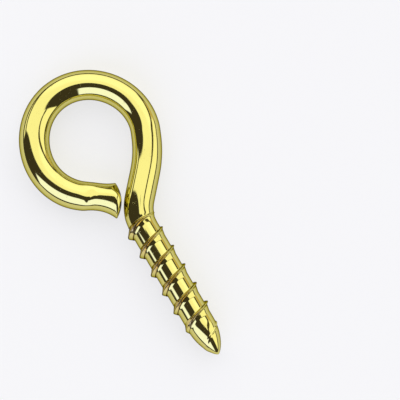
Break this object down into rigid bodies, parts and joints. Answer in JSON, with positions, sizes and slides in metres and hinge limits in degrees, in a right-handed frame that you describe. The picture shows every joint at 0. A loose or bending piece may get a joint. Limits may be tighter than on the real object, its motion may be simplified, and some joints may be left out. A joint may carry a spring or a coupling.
{
  "type": "screw eye",
  "caption": "Small brass screw eye: a round wire eye whose cut end all but meets the neck, on a straight shank with a coarse right-hand wood thread and a tapered point.",
  "frame": {"origin": "centre of the eye, in the mid plane of the wire", "axes": "+Z square to the plane of the eye, +Y from the point towards the eye, with the leg on the +X side"},
  "size_m": [0.014, 0.0317, 0.0036],
  "materials": {
    "brass": "polished"
  },
  "bodies": {
    "root": {"screw_eye": "brass"}
  },
  "joints": []
}
